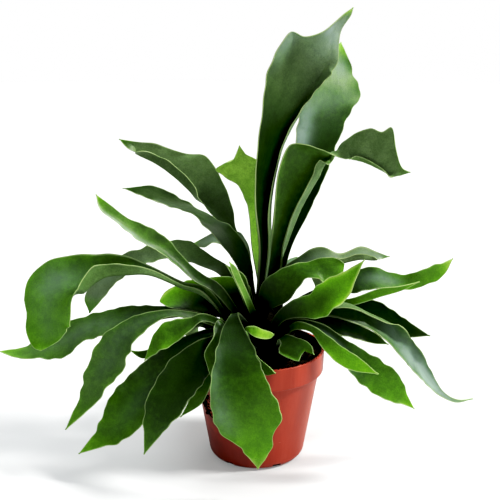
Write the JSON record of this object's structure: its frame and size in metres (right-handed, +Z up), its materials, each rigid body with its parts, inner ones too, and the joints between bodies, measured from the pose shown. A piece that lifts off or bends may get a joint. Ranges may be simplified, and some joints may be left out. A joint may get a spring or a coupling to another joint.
{
  "type": "potted staghorn fern",
  "caption": "House plant in a round nursery pot: long waved antler fronds arch out of a low crown set in dark soil; it stands on the pot's flat base.",
  "frame": {"origin": "centre of the flat underside of the pot, on the surface it stands on", "axes": "+Z up out of the pot along its axis, front of the plant towards -Y, +X to its right seen from the front"},
  "size_m": [0.4194, 0.2412, 0.3902],
  "materials": {
    "pot_plastic": "satin moulded terracotta-red plastic, roughness about 0.45",
    "soil": "damp black-brown peat with coarse crumbs, fully rough",
    "crown": "fibrous dark brown-green rhizome, rough",
    "frond": "leathery dark green with a fine grey-blue bloom, paler underside, roughness about 0.5",
    "young_frond": "bright yellow-green new growth, slightly translucent, roughness about 0.45"
  },
  "bodies": {
    "root": {"pot": "pot_plastic", "soil": "soil", "crown": "crown", "frond_rim_small": "frond", "frond_soil_curled": "frond", "frond_soil_lobed": "frond", "frond_front_big": "frond", "frond_front_narrow": "frond", "frond_front_left_dark": "frond", "frond_front_left_inner": "frond", "frond_front_left_low": "frond", "frond_left_small": "frond", "frond_left_narrow": "frond", "frond_left_broad": "frond", "frond_left_drooping": "frond", "frond_left_long": "frond", "frond_left_bright": "young_frond", "frond_pale_narrow": "young_frond", "frond_centre_short": "frond", "frond_right_notched": "frond", "frond_right_bright": "young_frond", "frond_right_low_bright": "young_frond", "frond_right_low": "frond", "frond_right_curled": "frond", "frond_right_under": "frond", "frond_right_strip": "frond", "frond_right_long": "frond", "frond_right_dark": "frond", "frond_upright_back": "frond", "frond_right_back": "frond", "frond_back_left": "frond", "frond_back_bright": "young_frond", "frond_upright_front": "frond", "frond_upright_flag": "frond", "frond_left_high": "frond", "frond_left_middle": "frond", "frond_left_arched": "frond", "shield_frond": "young_frond", "frond_rear_left": "frond", "frond_rear_left_inner": "frond", "frond_rear_middle": "frond", "frond_rear_right": "frond", "frond_rear_right_low": "frond"}
  },
  "joints": []
}
